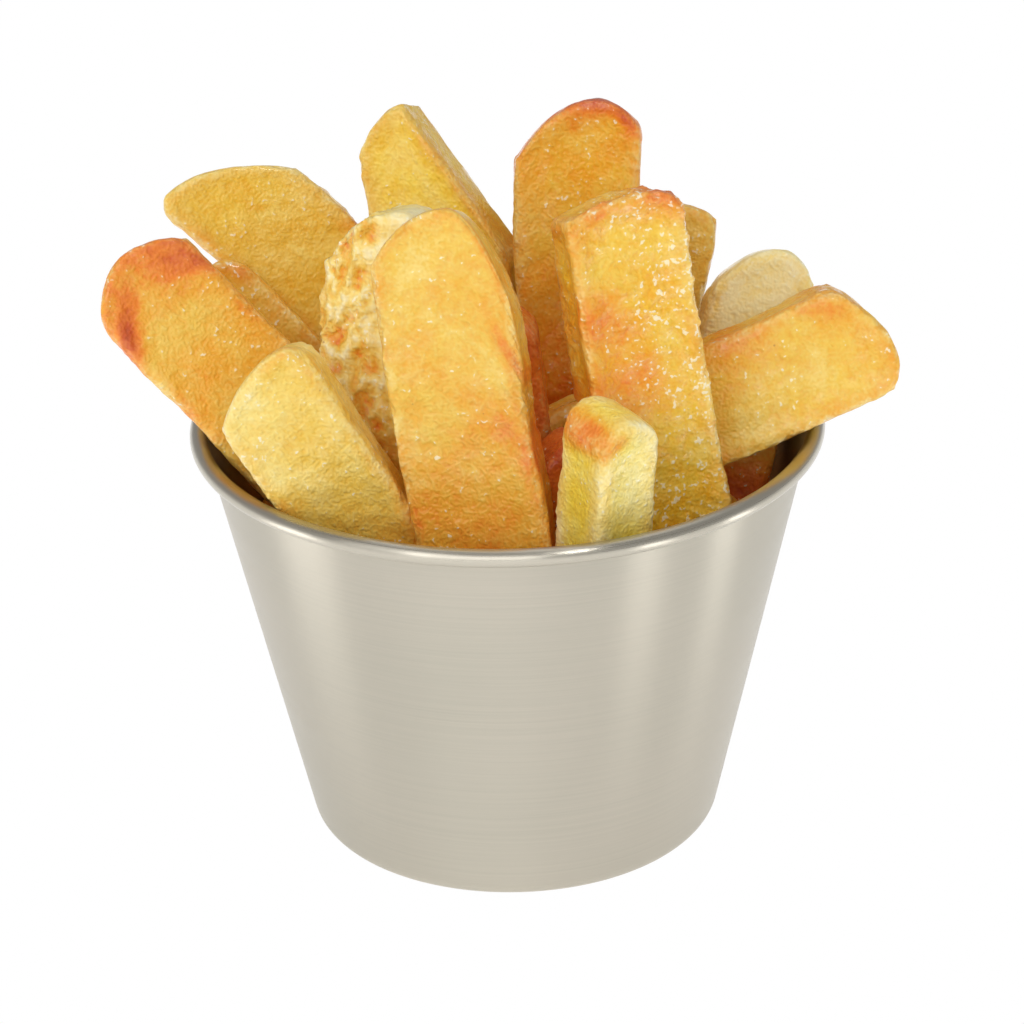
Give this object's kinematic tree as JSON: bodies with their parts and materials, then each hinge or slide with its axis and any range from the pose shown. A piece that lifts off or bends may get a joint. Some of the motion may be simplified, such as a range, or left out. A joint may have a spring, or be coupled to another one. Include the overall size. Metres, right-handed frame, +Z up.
{
  "type": "steak-cut fries in a steel cup",
  "caption": "Thick-cut potato fries standing upright and leaning over the rolled rim of a small flared round steel serving cup with a flat base.",
  "frame": {"origin": "middle of the cup's flat base, on the surface it stands on", "axes": "+Z up along the cup's axis, +X to the right and -Y towards the viewer of the side shown in the picture"},
  "size_m": [0.1178, 0.096, 0.1144],
  "materials": {
    "steel": "brushed round the cup, with a smoother rolled rim",
    "potato": "fried golden yellow, browned at edges and ends, with an oily sheen"
  },
  "bodies": {
    "root": {"cup": "steel", "fries": "potato"}
  },
  "joints": []
}
